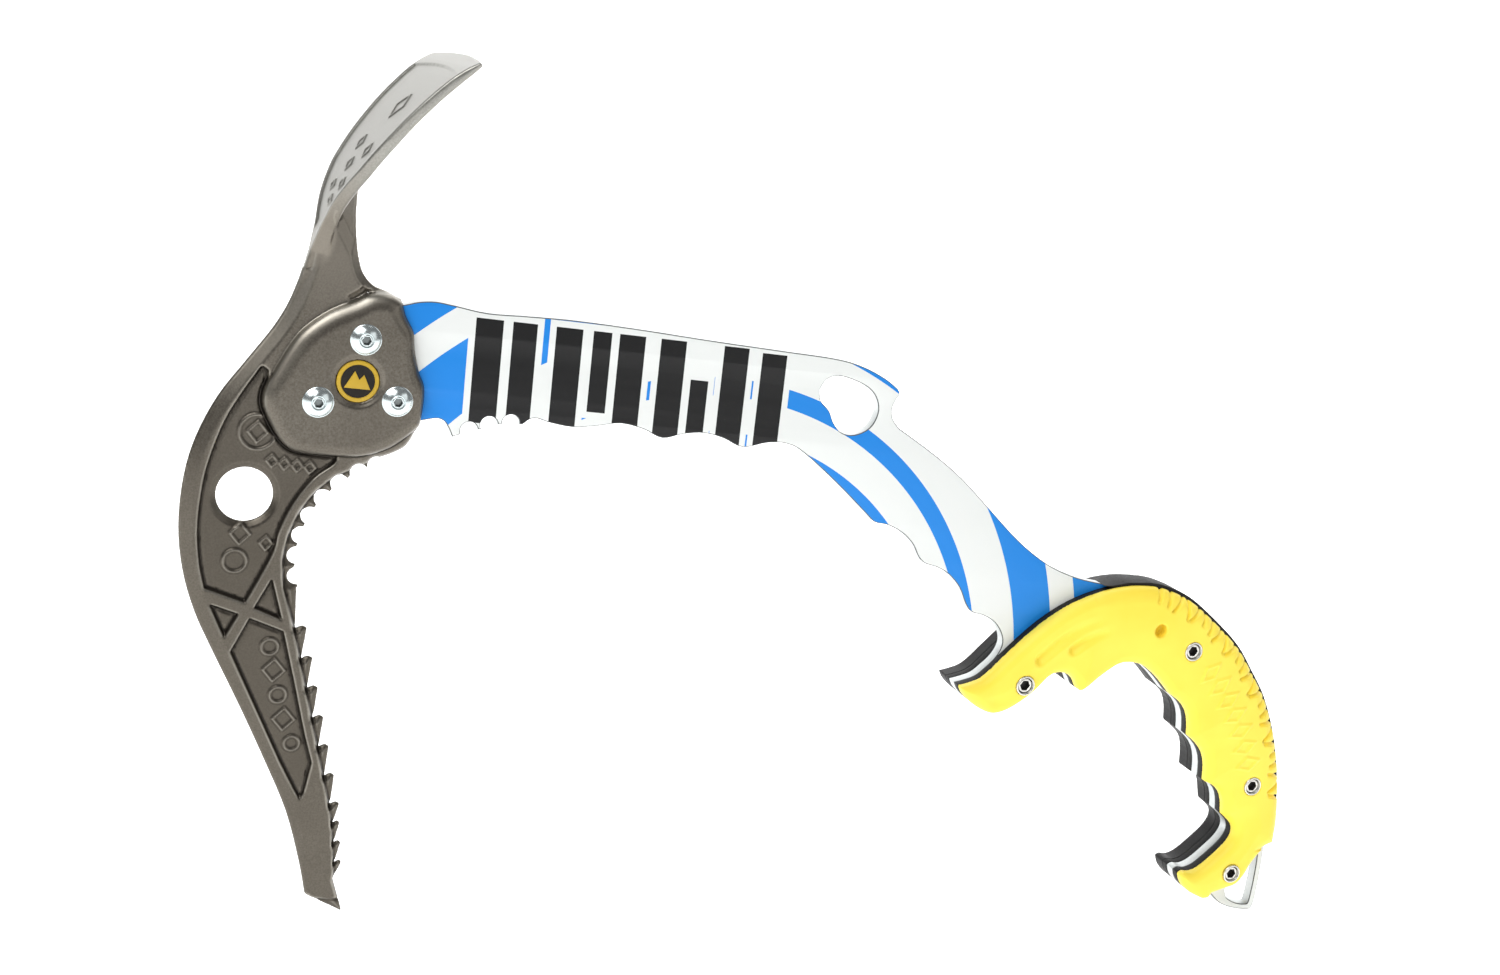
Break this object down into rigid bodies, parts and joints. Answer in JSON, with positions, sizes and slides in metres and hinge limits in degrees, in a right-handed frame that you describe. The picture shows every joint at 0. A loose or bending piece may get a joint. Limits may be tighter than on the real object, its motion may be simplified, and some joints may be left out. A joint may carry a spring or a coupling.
{
  "type": "ice axe",
  "caption": "Technical ice axe: forged head with pick and adze bolted to a flat aluminium plate shaft with a two-shell pistol handle and a leash eye.",
  "frame": {"origin": "centre of the bounding box in X and Y, at the height of the surface that the pick point and the leash eye rest on", "axes": "+X from the pick to the handle along the shaft, +Z from the pick point up to the adze, Y across the thickness with -Y the left side"},
  "size_m": [0.4871, 0.0618, 0.3192],
  "materials": {
    "forging": "satin warm grey forging",
    "plate": "white and blue printed faces, bare silver edges",
    "liner": "matt black",
    "grip_yellow": "satin moulded",
    "grip_black": "satin moulded",
    "bolt": "zinc-plated steel",
    "screw": "stainless",
    "cup": "turned and polished",
    "medallion": "gold disc with a dark sunk field"
  },
  "bodies": {
    "root": {"head_forging": "forging", "shaft_plate": "plate", "liner_left": "liner", "liner_right": "liner", "grip_left": "grip_yellow", "grip_right": "grip_black", "medallion_left": "medallion", "medallion_right": "medallion", "head_bolt_top": "bolt", "head_bolt_front": "bolt", "head_bolt_rear": "bolt", "head_nut_top": "bolt", "head_nut_front": "bolt", "head_nut_rear": "bolt", "grip_screw_rest": "screw", "grip_screw_upper": "screw", "grip_screw_lower": "screw", "grip_screw_pommel": "screw", "grip_nut_rest": "screw", "grip_nut_upper": "screw", "grip_nut_lower": "screw", "grip_nut_pommel": "screw", "screw_cup_rest": "cup", "screw_cup_upper": "cup", "screw_cup_lower": "cup", "screw_cup_pommel": "cup", "nut_cup_rest": "cup", "nut_cup_upper": "cup", "nut_cup_lower": "cup", "nut_cup_pommel": "cup"}
  },
  "joints": []
}
